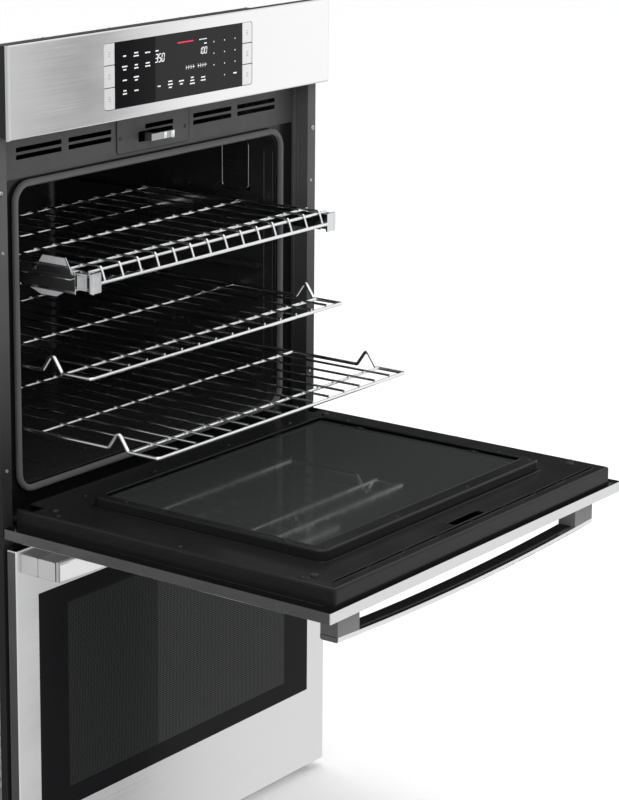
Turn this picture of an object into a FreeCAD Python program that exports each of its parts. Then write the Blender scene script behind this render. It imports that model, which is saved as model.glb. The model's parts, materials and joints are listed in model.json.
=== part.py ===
import FreeCAD, Part
import math
import os
import re
from FreeCAD import Vector as V

doc = FreeCAD.newDocument("wall_oven")

# ---------------------------------------------------------------- driving dimensions, mm
DIMS = [
    ("overall_w", 755.6, "width over the doors and the control panel"),
    ("overall_h", 1308.0, "height from the base to the top of the control panel"),
    ("front_y", -300.0, "front plane of the control panel"),
    ("sheet", 1.5, "sheet metal"),
    ("panel_h", 134.5, "control panel height"),
    ("panel_ret", 6.5, "control panel edge return"),
    ("ctrl_w", 351.2, "opening for the touch glass and the keys"),
    ("ctrl_h", 98.4, "height of that opening"),
    ("ctrl_top", 18.0, "from the panel top to that opening"),
    ("glass_w", 301.6, "touch glass width"),
    ("key_gap", 0.4, "gap round each key"),
    ("body_hw", 354.0, "half width of the chassis"),
    ("body_d", 597.5, "depth of the chassis behind the panel front"),
    ("pan_h", 14.0, "height of the base pan"),
    ("body_top", 1200.0, "height of the chassis top cover"),
    ("box_top", 1284.0, "height of the control box"),
    ("box_d", 150.0, "depth of the control box"),
    ("frame_d", 54.7, "depth of the front frame plane"),
    ("frame_hw", 357.0, "half width of the front frame"),
    ("open_hw", 309.0, "half width of the cavity mouth"),
    ("open_lo", 47.7, "cavity mouth bottom above the hinge line"),
    ("open_hi", 489.7, "cavity mouth top above the hinge line"),
    ("open_r", 22.0, "cavity mouth corner radius"),
    ("cav_back", 541.0, "depth of the cavity back wall"),
    ("guide_pitch", 47.5, "rack guide spacing"),
    ("guide_lo", 83.7, "lowest guide above the hinge line"),
    ("guide_in", 297.0, "half distance between facing guides"),
    ("guide_h", 9.0, "guide height"),
    ("hinge_up", 601.3, "upper hinge line height"),
    ("hinge_low", 23.5, "lower hinge line height"),
    ("hinge_d", 13.1, "depth of the hinge line"),
    ("knuckle_r", 7.0, "radius of the hinge brackets round the pins"),
    ("hinge_x", 341.0, "half spacing of the hinges"),
    ("face_v", 11.5, "door face to the hinge line"),
    ("door_lo", -11.4, "door bottom edge below the hinge line"),
    ("door_up_h", 569.7, "upper door top above its hinge line"),
    ("door_low_h", 552.5, "lower door top above its hinge line"),
    ("skin_ret", 16.4, "depth of the door skin's return"),
    ("liner_hw", 356.4, "half width of the door liner"),
    ("liner_v", 42.9, "door liner plane behind the door face"),
    ("pad_hw", 280.0, "half width of the raised window frame"),
    ("pad_lo", 71.0, "raised window frame bottom above the hinge line"),
    ("pad_hi", 486.0, "raised window frame top above the hinge line"),
    ("pad_v", 58.8, "raised window frame plane behind the door face"),
    ("pane_hw", 330.8, "half width of the black outer glass"),
    ("pane_lo", 125.3, "outer glass bottom above the hinge line"),
    ("pane_hi", 476.5, "outer glass top above the hinge line"),
    ("grip_hw", 331.0, "half length of the handle"),
    ("grip_h", 29.6, "height of the handle"),
    ("grip_t", 8.0, "thickness of the handle"),
    ("grip_top", 21.2, "door top to the top of the handle"),
    ("grip_end", 43.0, "handle front from the door face at its ends"),
    ("grip_mid", 52.0, "handle front from the door face at its middle"),
    ("post_w", 50.0, "handle post width"),
    ("flange_d", 26.0, "front plane of the side flanges"),
    ("flange_in", 358.5, "inner edge of the side flanges"),
    ("screw_x", 370.0, "half spacing of the cabinet screws"),
    ("screw_hi", 1096.0, "upper cabinet screws"),
    ("screw_lo", 96.0, "lower cabinet screws"),
    ("screw_r", 2.4, "cabinet screw hole radius"),
    ("rack_hw", 304.5, "half width of a rack at its side wires"),
    ("rack_depth", 415.0, "rack depth"),
    ("rail_r", 2.75, "rack frame wire radius"),
    ("wire_r", 1.9, "rack cross wire radius"),
    ("slide_hw", 293.0, "half width of the sliding shelf"),
    ("fan_r", 72.0, "convection fan radius"),
    ("conduit_r", 11.1, "conduit hole radius"),
]
sheet = doc.addObject("Spreadsheet::Sheet", "dims")
for row, (alias, value, note) in enumerate(DIMS, start=1):
    sheet.set("A%d" % row, note)
    sheet.set("B%d" % row, str(value))
    sheet.setAlias("B%d" % row, alias)
doc.recompute()
ALIASES = {alias for alias, _, _ in DIMS}
D = {alias: float(sheet.get(alias)) for alias in ALIASES}
NODES = {}


# ---------------------------------------------------------------- helpers
def expr(text):
    """Point every alias in an expression at the spreadsheet."""
    return re.sub(r"[a-z][a-z_]+", lambda m: "dims." + m[0] if m[0] in ALIASES else m[0], str(text))


def block(label, x, y, z, sx, sy, sz):
    """A box from its low corner and size; y counts back from the panel front."""
    o = doc.addObject("Part::Box", label)
    for prop, text in (("Length", sx), ("Width", sy), ("Height", sz), ("Placement.Base.x", x),
                       ("Placement.Base.y", "front_y + (%s)" % y), ("Placement.Base.z", z)):
        o.setExpression(prop, expr(text))
    return o


def drum(label, x, y, z, r, length, axis):
    """A cylinder from its start point, along +x, +y or +z."""
    o = doc.addObject("Part::Cylinder", label)
    turn = {"x": (V(0, 1, 0), 90), "y": (V(1, 0, 0), -90), "z": (V(0, 0, 1), 0)}[axis]
    o.Placement = FreeCAD.Placement(V(), FreeCAD.Rotation(*turn))
    for prop, text in (("Radius", r), ("Height", length), ("Placement.Base.x", x),
                       ("Placement.Base.y", "front_y + (%s)" % y), ("Placement.Base.z", z)):
        o.setExpression(prop, expr(text))
    return o


def fused(label, parts):
    o = doc.addObject("Part::MultiFuse", label)
    o.Shapes = parts
    return o


def less(label, base, tools):
    o = doc.addObject("Part::Cut", label)
    o.Base = base
    o.Tool = tools[0] if len(tools) == 1 else fused(label + "_tools", tools)
    return o


def rounded(label, base, radius, along, pick=lambda c: True):
    """Fillet the straight edges of base that run along an axis."""
    doc.recompute()
    o = doc.addObject("Part::Fillet", label)
    o.Base = base
    way = {"x": V(1, 0, 0), "y": V(0, 1, 0), "z": V(0, 0, 1)}
    chosen = []
    for i, e in enumerate(base.Shape.Edges, start=1):
        if e.Curve.TypeId != "Part::GeomLine" or not pick(e.CenterOfMass):
            continue
        t = e.tangentAt(e.FirstParameter)
        if any(abs(abs(t.dot(way[a])) - 1) < 1e-6 for a in along):
            chosen.append((i, radius, radius))
    o.Edges = chosen
    return o


def feature(label, shape):
    o = doc.addObject("Part::Feature", label)
    o.Shape = shape
    return o


def node(name, obj):
    NODES[name] = obj
    obj.Label = name
    return obj


def pt(x, y, z):
    return V(x, D["front_y"] + y, z)


def solid_box(x0, x1, y0, y1, z0, z1):
    return Part.makeBox(x1 - x0, y1 - y0, z1 - z0, pt(x0, y0, z0))


def soft_box(x0, x1, y0, y1, z0, z1, r, axis="y"):
    """A box whose four edges along one axis are rounded."""
    s = solid_box(x0, x1, y0, y1, z0, z1)
    way = {"x": V(1, 0, 0), "y": V(0, 1, 0), "z": V(0, 0, 1)}[axis]
    return s.makeFillet(r, [e for e in s.Edges if abs(e.tangentAt(e.FirstParameter).dot(way)) > 0.99])


def rod(points, r, bend=0.0):
    """A round wire along a polyline, its corners bent to a radius."""
    pts = [pt(*p) for p in points]
    edges, start = [], pts[0]
    for a, b, c in zip(pts, pts[1:], pts[2:]):
        u, w = (a - b).normalize(), (c - b).normalize()
        half = u.getAngle(w) / 2
        if bend <= 0 or abs(half - math.pi / 2) < 1e-3:
            continue
        run = bend / math.tan(half)
        p, q = b + u * run, b + w * run
        mid = b + (u + w).normalize() * (bend / math.sin(half) - bend)
        edges += [Part.makeLine(start, p), Part.Arc(p, mid, q).toShape()]
        start = q
    edges.append(Part.makeLine(start, pts[-1]))
    path = Part.Wire(edges)
    way = edges[0].tangentAt(edges[0].FirstParameter)
    ring = Part.Wire([Part.makeCircle(r, pts[0], way)])
    return path.makePipeShell([ring], True, False)


def one(shapes):
    s = shapes[0].fuse(shapes[1:]) if len(shapes) > 1 else shapes[0]
    return s.removeSplitter()


# ---------------------------------------------------------------- chassis
half = "overall_w / 2"
sides = []
for s, x in ((-1, "-body_hw"), (1, "body_hw - sheet")):
    sides.append(block("side_sheet", x, "frame_d + sheet + 0.05", "pan_h", "sheet",
                       "body_d - frame_d - 2 * sheet - 0.05", "body_top - pan_h"))
node("chassis_sides", fused("chassis_sides", sides))
top = block("top_sheet", "-body_hw + sheet", "box_d + 1", "body_top - sheet",
            "2 * body_hw - 2 * sheet", "body_d - box_d - 2.5", "sheet")
node("chassis_top", top)

back = block("back_sheet", "-body_hw", "body_d - sheet", "14", "2 * body_hw", "sheet", "body_top - 14")
slots = [block("back_slot", str(x), "body_d - 5", str(z), "90", "10", "5")
         for x in (-240, -120, 30, 150) for z in (60, 78, 96, 640, 658, 676)]
node("chassis_back", less("chassis_back", back, slots))

pan = block("pan", "-body_hw", "60", "0", "2 * body_hw", "body_d - 60", "14")
pan_in = block("pan_in", "-body_hw + 2", "62", "2", "2 * body_hw - 4", "body_d - 64", "14")
node("base_pan", less("base_pan", pan, [pan_in]))
node("mid_shelf", block("mid_shelf", "-body_hw + sheet", "57", "560", "2 * body_hw - 2 * sheet",
                        "body_d - 60", "sheet"))

# ---------------------------------------------------------------- one oven cavity and its front
VENTS = ((97.0, 193.0), (208.0, 306.0))
MOTORS, LENSES = [], []


def cavity(tag, axis, lower_edge, upper_edge, vent_edge):
    """Front frame, vent strip, latch plate, liner, gasket and heating parts for one oven."""
    ax = D[axis]
    lo, hi = ax + D["open_lo"], ax + D["open_hi"]
    fd = D["frame_d"]

    plate = block("frame_sheet_" + tag, "-frame_hw", "frame_d", lower_edge, "2 * frame_hw", "sheet",
                  "%s - (%s)" % (upper_edge, lower_edge))
    mouth = rounded("mouth_round_" + tag, block(
        "mouth_" + tag, "-open_hw", "frame_d - 5", axis + " + open_lo", "2 * open_hw", "12",
        "open_hi - open_lo"), D["open_r"], "y")
    parts = [less("frame_open_" + tag, plate, [mouth])]
    knuckle = D["knuckle_r"]
    for s in (-1, 1):
        x = s * D["hinge_x"]
        arm = solid_box(x - 6, x + 6, D["hinge_d"], fd + 0.5, ax - knuckle, ax + knuckle)
        boss = Part.makeCylinder(knuckle, 12, pt(x - 6, D["hinge_d"], ax), V(1, 0, 0))
        bore = Part.makeCylinder(3.05, 20, pt(x - 10, D["hinge_d"], ax), V(1, 0, 0))
        parts.append(feature("bracket_" + tag, arm.fuse(boss).cut(bore).removeSplitter()))
    node("frame_" + tag, fused("frame_" + tag, parts))

    strip = block("strip_" + tag, "-frame_hw", "frame_d", upper_edge, "2 * frame_hw", "sheet",
                  "%s - (%s)" % (vent_edge, upper_edge))
    holes = []
    for a, b in VENTS:
        for s in (-1, 1):
            for dz in (41.0, 52.0):
                x = min(s * a, s * b)
                holes.append(feature("vent_hole_" + tag, soft_box(
                    x, x + b - a, fd - 3, fd + 5, hi + dz, hi + dz + 7, 1.5)))
    holes.append(feature("latch_gap_" + tag, solid_box(-60, 66, fd - 3, fd + 5, hi + 28, hi + 60)))
    node("vent_" + tag, less("vent_" + tag, strip, holes))

    plate = soft_box(-85.6, 85.6, fd - 1.3, fd - 0.05, hi + 18.5, float(vent_edge) - 1, 6)
    cuts = [soft_box(-20, 47, fd - 5, fd + 5, hi + 50.5, hi + 57.5, 1.5),
            soft_box(-36, 46, fd - 5, fd + 5, hi + 31.5, hi + 47.5, 2)]
    for x in (-78, 76):
        cuts.append(Part.makeCylinder(1.6, 12, pt(x, fd - 6, hi + 42), V(0, 1, 0)))
    node("latch_plate_" + tag, feature("latch_plate_" + tag, plate.cut(cuts)))

    # cavity liner: five sheets that meet edge to edge, the side ones with embossed rack guides
    ci, t, front, rear = D["open_hw"] + 2, D["sheet"], fd + 1.55, D["cav_back"]
    zf = (lo + hi) / 2 + 8
    sheets = [solid_box(-ci - t, ci + t, front, rear + t, lo - 2 - t, lo - 2),
              solid_box(-ci - t, ci + t, front, rear + t, hi + 2, hi + 2 + t),
              solid_box(-ci, ci, rear, rear + t, lo - 2, hi + 2).cut(
                  Part.makeCylinder(9, 30, pt(0, rear - 12, zf), V(0, 1, 0)))]
    lamp = Part.makeBox(12, 56, 84, pt(D["open_hw"] - 4, 108, hi - 100))
    for s in (-1, 1):
        wall = solid_box(*sorted((s * ci, s * (ci + t))), front, rear + t, lo - 2, hi + 2)
        ribs = []
        for i in range(7):
            zt = ax + D["guide_lo"] + i * D["guide_pitch"]
            for y0, y1 in ((84.0, 210.0), (300.0, 520.0)):
                ribs.append(soft_box(*sorted((s * D["guide_in"], s * (ci + 0.7))), y0, y1,
                                     zt - D["guide_h"], zt, 2.5, "x"))
        wall = wall.fuse(ribs)
        sheets.append((wall.cut(lamp) if s > 0 else wall).removeSplitter())
    node("liner_" + tag, feature("liner_" + tag, Part.makeCompound(sheets)))

    # door gasket, a flattened tube round the mouth
    g0, g1, gr = 4.7, 315.4, D["open_r"] + 6.4
    ring = soft_box(-g1 - g0, g1 + g0, fd - 9.5, fd - 0.1, lo - 6.5 - g0, hi + 6.5 + g0, gr + g0)
    hole = soft_box(-g1 + g0, g1 - g0, fd - 20, fd + 5, lo - 6.5 + g0, hi + 6.5 - g0, gr - g0)
    ring = ring.cut(hole)
    loops = [e for e in ring.Edges
             if abs(e.valueAt(e.FirstParameter).y - e.valueAt(e.LastParameter).y) < 1e-6]
    node("gasket_" + tag, feature("gasket_" + tag, ring.makeFillet(4.4, loops)))

    # broil element: a serpentine under the roof, tails ending at the back wall
    zb = hi - 24
    path = [(-60, D["cav_back"] - 1, zb)]
    xs = [-60, -230, -230, -138, -138, -46, -46, 46, 46, 138, 138, 230, 230, 60]
    ys = [470, 470, 160, 160, 440, 440, 160, 160, 440, 440, 160, 160, 470, 470]
    path += [(x, y, zb) for x, y in zip(xs, ys)] + [(60, D["cav_back"] - 1, zb)]
    node("broil_element_" + tag, feature("broil_element_" + tag, rod(path, 4.0, 20)))

    # convection fan, its cover and its motor behind the back wall
    cover = soft_box(-150, 150, D["cav_back"] - 28, D["cav_back"] - 0.1, zf - 112, zf + 112, 30)
    face = [e for e in cover.Edges if e.CenterOfMass.y < pt(0, D["cav_back"] - 27.9, 0).y]
    cover = cover.makeFillet(8, face)
    hollow = soft_box(-148.5, 148.5, D["cav_back"] - 26.5, D["cav_back"] + 5, zf - 110.5, zf + 110.5, 28.5)
    face = [e for e in hollow.Edges if e.CenterOfMass.y < pt(0, D["cav_back"] - 26.4, 0).y]
    hollow = hollow.makeFillet(6.5, face)
    holes = [Part.makeCylinder(8, 8, pt(0, D["cav_back"] - 31, zf), V(0, 1, 0))]
    for count, radius in ((8, 24), (14, 42), (20, 60)):
        for k in range(count):
            a = 2 * math.pi * k / count
            holes.append(Part.makeCylinder(4.6, 8, pt(radius * math.cos(a), D["cav_back"] - 31,
                                                      zf + radius * math.sin(a)), V(0, 1, 0)))
    for s in (-1, 1):
        for k in range(6):
            z = zf - 75 + 30 * k
            holes.append(soft_box(s * 120 - 12, s * 120 + 12, D["cav_back"] - 31, D["cav_back"] - 23,
                                  z - 4, z + 4, 3.5))
    node("fan_cover_" + tag, feature("fan_cover_" + tag, cover.cut([hollow] + holes)))

    y0 = D["cav_back"] - 21
    blades = [Part.makeCylinder(D["fan_r"], 1.2, pt(0, y0 + 14, zf), V(0, 1, 0)),
              Part.makeCylinder(12, 15, pt(0, y0, zf), V(0, 1, 0)),
              Part.makeCylinder(4, 24, pt(0, y0 + 14, zf), V(0, 1, 0))]
    for k in range(12):
        b = Part.makeBox(26, 15, 1.2, pt(D["fan_r"] - 28, y0, zf - 0.6))
        b.rotate(pt(0, 0, zf), V(0, 1, 0), 30 * k)
        blades.append(b)
    node("fan_" + tag, feature("fan_" + tag, one(blades)))
    motor = Part.makeCylinder(42, 36, pt(0, D["cav_back"] + 14, zf), V(0, 1, 0))
    plate = soft_box(-60, 60, D["cav_back"] + 2, D["cav_back"] + 4, zf - 50, zf + 50, 8)
    stubs = [Part.makeCylinder(4, 12, pt(x, D["cav_back"] + 3, zf + z), V(0, 1, 0))
             for x in (-30, 30) for z in (-24, 24)]
    bore = Part.makeCylinder(6, 60, pt(0, D["cav_back"] - 5, zf), V(0, 1, 0))
    MOTORS.append(motor.fuse([plate] + stubs).cut(bore))

    # lamp lens in the right side wall
    LENSES.append(soft_box(D["open_hw"] - 1.5, D["open_hw"] + 6, 109, 163, hi - 99, hi - 17, 10, "x"))

    # latch hook: a flat arm out of the plate, bent sideways
    z0, z1 = hi + 34.5, hi + 45.0
    hook = one([solid_box(-28, -16, 34, 78, z0, z1), solid_box(-28, 26, 34, 37, z0, z1),
                solid_box(20, 26, 34, 41, z0 - 1.5, z1)])
    node("latch_hook_" + tag, feature("latch_hook_" + tag, hook))


cavity("upper", "hinge_up", "586", "1105", "1175")
cavity("lower", "hinge_low", "14.05", "527.2", "585")
node("fan_motors", feature("fan_motors", Part.makeCompound(MOTORS)))
node("lamp_lenses", feature("lamp_lenses", Part.makeCompound(LENSES)))

# ---------------------------------------------------------------- trims
for s, x, xr in ((-1, "-" + half, "-frame_hw - sheet"), (1, "flange_in", "frame_hw")):
    tag = "left" if s < 0 else "right"
    flange = block("flange_" + tag, x, "flange_d", "12", half + " - flange_in", "1.6",
                   "overall_h - panel_h - 13.5")
    wall = block("recess_" + tag, xr, "flange_d", "12", "sheet", "frame_d - flange_d + 1.5",
                 "overall_h - panel_h - 13.5")
    rib = block("recess_rib_" + tag, "%d * 354.5 - 2.5" % s, "frame_d - 4", "640", "5", "3.95", "520")
    tools = [drum("screw_" + tag, "%d * screw_x" % s, "flange_d - 4", z, "screw_r", "10", "y")
             for z in ("screw_lo", "screw_hi")]
    node("trim_" + tag, less("trim_" + tag, fused("trim_raw_" + tag, [flange, wall, rib]), tools))
strip = block("strip_bottom", "-frame_hw", "30", "2", "2 * frame_hw", "29.95", "7.5")
node("trim_bottom", rounded("trim_bottom", strip, 3.0, "xz", lambda c: c.y < D["front_y"] + 40))

# ---------------------------------------------------------------- control panel
face = block("fascia_sheet", "-" + half, "0", "overall_h - panel_h", "overall_w", "panel_ret", "panel_h")
face = rounded("fascia_round", face, 2.5, "xz", lambda c: c.y < D["front_y"] + 0.1)
well = block("fascia_well", "-%s + 1.2" % half, "1.4", "overall_h - panel_h + 1.2", "overall_w - 2.4",
             "panel_ret", "panel_h - 2.4")
gap = block("fascia_gap", "-ctrl_w / 2", "-5", "overall_h - ctrl_top - ctrl_h", "ctrl_w", "20", "ctrl_h")
gap = rounded("fascia_gap_round", gap, 6.0, "y")
node("fascia", less("fascia", face, [well, gap]))

box_o = block("box_outer", "-%s + 5" % half, "panel_ret + 0.05", "1176", "overall_w - 10",
              "20", "overall_h - 1176 - 2")
box_b = block("box_back", "-body_hw", "26", "body_top + 0.05", "2 * body_hw", "box_d - 26",
              "box_top - body_top")
box_i = block("box_inner", "-body_hw + sheet", "panel_ret - 2", "body_top + 0.05 + sheet",
              "2 * body_hw - 2 * sheet", "box_d - panel_ret + 2 - sheet", "box_top - body_top - 2 * sheet")
sink = block("box_sink", "-ctrl_w / 2 - 2", "panel_ret - 2", "1188", "ctrl_w + 4", "16", "105")
node("control_box", less("control_box", fused("box_shell", [box_o, box_b]), [box_i, sink]))

ctrl_z = "overall_h - ctrl_top - ctrl_h"
glass = block("touch_glass", "-glass_w / 2 + key_gap", "0.3", ctrl_z + " + key_gap",
              "glass_w - 2 * key_gap", "4", "ctrl_h - 2 * key_gap")
node("control_glass", rounded("control_glass", glass, 1.2, "xz", lambda c: c.y < D["front_y"] + 0.4))
board = block("board", "-glass_w / 2 + 6", "4.6", ctrl_z + " + 5", "glass_w - 12", "1.6", "ctrl_h - 10")
display = block("display", "-70", "6.1", ctrl_z + " + 20", "140", "5", "55")
node("control_board", fused("control_board", [board, display]))

key_w = (D["ctrl_w"] - D["glass_w"]) / 2
key_h = D["ctrl_h"] / 3
keys = [("left", -1, i) for i in range(3)] + [("right", 1, i) for i in range(3)]
for side, s, i in keys:
    g = D["key_gap"]
    z0 = D["overall_h"] - D["ctrl_top"] - D["ctrl_h"] + (2 - i) * key_h
    x0 = -D["ctrl_w"] / 2 if s < 0 else D["glass_w"] / 2
    key = solid_box(x0 + g, x0 + key_w - g, 0.2, 5, z0 + g, z0 + key_h - g)
    if i != 1:
        xo, zo = (x0 if s < 0 else x0 + key_w), (z0 + key_h if i == 0 else z0)
        near = [e for e in key.Edges if abs(e.tangentAt(e.FirstParameter).y) > 0.99
                and abs(e.CenterOfMass.x - xo) < 2 and abs(e.CenterOfMass.z - zo) < 2]
        key = key.makeFillet(5.6, near)
    rim = [e for e in key.Edges if e.CenterOfMass.y < pt(0, 0.25, 0).y]
    key = key.makeFillet(0.9, rim)
    stem = Part.makeCylinder(4, 6, pt(x0 + key_w / 2, 4.5, z0 + key_h / 2), V(0, 1, 0))
    node("key_%s_%d" % (side, i + 1), feature("key_%s_%d" % (side, i + 1), key.fuse(stem)))

# ---------------------------------------------------------------- cooling fan and wiring box
casing = Part.makeCylinder(38, 300, pt(-150, 240, 1150), V(1, 0, 0))
casing = casing.fuse(solid_box(-150, 150, 150, 240, 1150, 1186))
bore = Part.makeCylinder(35, 296, pt(-148, 240, 1150), V(1, 0, 0))
mouth = solid_box(-148, 148, 140, 240, 1152, 1184)
motor = Part.makeCylinder(28, 45, pt(150, 240, 1150), V(1, 0, 0))
node("cooling_blower", feature("cooling_blower", casing.cut([bore, mouth]).fuse(motor)))
jbox = solid_box(200, 300, 152, 232, 1200.1, 1254).cut(solid_box(201.5, 298.5, 153.5, 230.5, 1201.6, 1252.5))
jbox = jbox.cut(Part.makeCylinder(D["conduit_r"], 20, pt(250, 220, 1227), V(0, 1, 0)))
node("junction_box", feature("junction_box", jbox))


# ---------------------------------------------------------------- doors
def door(tag, axis, top, turn):
    """Build a closed door about its hinge line, then swing it by turn degrees."""
    ax, h = D[axis], D[top]
    d0 = D["hinge_d"] - D["face_v"]
    hw = D["overall_w"] / 2

    def put(name, shape):
        s = shape.copy()
        s.rotate(pt(0, D["hinge_d"], ax), V(1, 0, 0), turn)
        node(name + "_" + tag, feature(name + "_" + tag, s))

    def bx(x0, x1, v0, v1, w0, w1):
        return solid_box(x0, x1, d0 + v0, d0 + v1, ax + w0, ax + w1)

    def sb(x0, x1, v0, v1, w0, w1, r, axis_="y"):
        return soft_box(x0, x1, d0 + v0, d0 + v1, ax + w0, ax + w1, r, axis_)

    # stainless skin with a return all round and the pane opening
    skin = bx(-hw, hw, 0, D["skin_ret"], D["door_lo"], h)
    front = [e for e in skin.Edges if e.CenterOfMass.y < pt(0, d0 + 0.1, 0).y]
    upright = [e for e in skin.Edges if abs(e.tangentAt(e.FirstParameter).y) > 0.99]
    skin = skin.makeFillet(2.0, front + upright)
    notches = [bx(x - 12.5, x + 12.5, 2.5, 60, -20, 24) for x in (-D["hinge_x"], D["hinge_x"])]
    skin = skin.cut([bx(-hw + 1.2, hw - 1.2, 1.2, 40, D["door_lo"] + 1.2, h - 1.2),
                     bx(-D["pane_hw"], D["pane_hw"], -5, 5, D["pane_lo"], D["pane_hi"])] + notches)
    put("door_skin", skin.removeSplitter())
    put("door_pane", bx(-D["pane_hw"] + 0.3, D["pane_hw"] - 0.3, 0.2, 5,
                        D["pane_lo"] + 0.3, D["pane_hi"] - 0.3))

    # black liner: hollow shell, raised window frame, latch slot, vent slots, hinge notches
    lv, lh, w1 = D["liner_v"], D["liner_hw"], h - 8.0
    ph, p0, p1, pv = D["pad_hw"], D["pad_lo"], D["pad_hi"], D["pad_v"]
    if tag == "lower":
        p1 = h - 8 - 60
    outer = bx(-lh, lh, 5.5, lv, -8, w1)
    soft = [e for e in outer.Edges if e.CenterOfMass.y > pt(0, d0 + lv - 0.1, 0).y]
    corner = [e for e in outer.Edges if abs(e.tangentAt(e.FirstParameter).y) > 0.99]
    outer = outer.makeFillet(4.0, soft + corner)
    pad = sb(-ph, ph, lv - 8, pv, p0, p1, 14)
    pad = pad.makeFillet(3.0, [e for e in pad.Edges if e.CenterOfMass.y > pt(0, d0 + pv - 0.1, 0).y])
    shell = outer.fuse(pad)
    hollow = [bx(-lh + 1.5, lh - 1.5, 5, lv - 1.5, -6.5, w1 - 1.5),
              sb(-ph + 1.5, ph - 1.5, lv - 9.5, pv - 1.5, p0 + 1.5, p1 - 1.5, 12.5),
              sb(-267, 267, lv - 10, pv + 5, p0 + 12, p1 - 26, 8),
              sb(-33, 45, lv - 6, lv + 4, 521.5, 537.5, 3)]
    slot_w = h - 27
    for k in range(8):
        x = -334 + 84.5 * k
        if tag == "upper" or abs(x + 40) > 90:
            hollow.append(sb(x, x + 78, lv - 6, lv + 4, slot_w - 2.4, slot_w + 2.4, 2))
    put("door_liner", shell.cut(hollow + notches))
    put("door_window", bx(-266.7, 266.7, pv - 9.0, pv - 5.0, p0 + 12.3, p1 - 26.3).fuse(
        bx(-272, 272, pv - 12.0, pv - 9.0, p0 + 8, p1 - 20)).removeSplitter())

    # bowed handle on two posts
    g1 = h - D["grip_top"]
    g0, gh = g1 - D["grip_h"], D["grip_hw"]
    e, m = D["grip_end"], D["grip_mid"]
    sag = m - e
    big = (gh * gh + sag * sag) / (2 * sag)
    cy = d0 - m + big
    z0 = ax + g0
    outer = Part.makeCylinder(big, D["grip_h"], pt(0, cy, z0), V(0, 0, 1))
    inner = Part.makeCylinder(big - D["grip_t"], D["grip_h"] + 2, pt(0, cy, z0 - 1), V(0, 0, 1))
    bar = outer.cut(inner).common(solid_box(-gh, gh, d0 - m - 5, d0 - 10, z0, z0 + D["grip_h"]))
    posts = []
    for s in (-1, 1):
        x0, x1 = sorted((s * gh, s * (gh - D["post_w"])))
        posts.append(bx(x0, x1, -e, 0, g0 + 0.4, g1 - 0.4).cut(bar).Solids[0])
    put("handle_posts", Part.makeCompound(posts))
    long_e = [q for q in bar.Edges if q.Curve.TypeId == "Part::GeomCircle"
              and abs(q.Curve.Radius - big) < 0.01]
    put("handle", bar.makeFillet(3.6, long_e))

    # hinge leaves and pins either side of the fixed brackets
    leaves = []
    for s in (-1, 1):
        x = s * D["hinge_x"]
        parts = [bx(x - 9.5, x - 6.6, 3.5, 22, -7.5, 60), bx(x + 6.6, x + 9.5, 3.5, 22, -7.5, 60),
                 bx(x - 9.5, x + 9.5, 1.3, 3.9, -7.5, 60),
                 Part.makeCylinder(3.0, 18, pt(x - 9, D["hinge_d"], ax), V(1, 0, 0))]
        leaves.append(one(parts))
    put("hinges", Part.makeCompound(leaves))


door("upper", "hinge_up", "door_up_h", 90)
door("lower", "hinge_low", "door_low_h", 0)


# ---------------------------------------------------------------- racks
WIRE_XS = [-262.6 + 40.4 * k for k in range(14)]
REST = 0.02


def rack(name, z, y0):
    """Flat wire rack: bent frame wire with stop humps, two cross rails, depth wires laid on top."""
    hw, y1, r = D["rack_hw"], y0 + D["rack_depth"], D["rail_r"]
    z1 = z + r + D["wire_r"] + REST
    parts = []
    for x in (-hw, hw):
        pts = [(0, y0, z), (x, y0, z), (x, y0 + 55, z), (x, y0 + 73, z + 26), (x, y0 + 91, z),
               (x, y1, z), (0, y1, z)]
        parts.append(rod(pts, r, 5.0))
    for y in (y0 + 50, y0 + 221):
        rail = rod([(-hw, y, z + 0.3), (hw, y, z + 0.3)], r - 0.35)
        parts.append(rail.cut(parts[:2]).Solids[0])
    parts += [rod([(x, y0 - 1, z1), (x, y1 + 1, z1)], D["wire_r"]) for x in WIRE_XS]
    node(name, feature(name, Part.makeCompound(parts)))


base_up, base_low = D["hinge_up"] + 134.3, D["hinge_low"] + 134.3
rack("rack_upper_bottom", base_up, -205)
rack("rack_upper_middle", base_up + 2 * D["guide_pitch"], -82)
rack("rack_lower_bottom", base_low, 115)
rack("rack_lower_middle", base_low + 3 * D["guide_pitch"], 88)

# telescopic rack: sheet side brackets that ride on the guides, and the sliding shelf
zg = D["hinge_up"] + D["guide_lo"] + 6 * D["guide_pitch"]
carriers = []
for s in (-1, 1):
    x0, x1 = sorted((s * 294.6, s * 296.1))
    carriers.append(solid_box(x0, x1, -46, 296, zg - 22, zg + 6))
    carriers.append(solid_box(*sorted((s * 296.1, s * 307)), -46, 296, zg + 0.4, zg + 1.9))
    if s < 0:
        for outline in ([(31, zg + 6), (18, zg + 29), (-28, zg + 29), (-41, zg + 6)],
                        [(42, zg - 22), (20, zg - 30), (-12, zg - 30), (-26, zg - 22)]):
            ear = Part.Face(Part.makePolygon([pt(x0, y, z) for y, z in outline + outline[:1]]))
            carriers.append(ear.extrude(V(x1 - x0, 0, 0)))
carriers += [rod([(-294.6, y, zg - 19), (294.6, y, zg - 19)], 2.6) for y in (-36, 285)]
node("slide_frame", feature("slide_frame", Part.makeCompound(carriers)))

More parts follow.
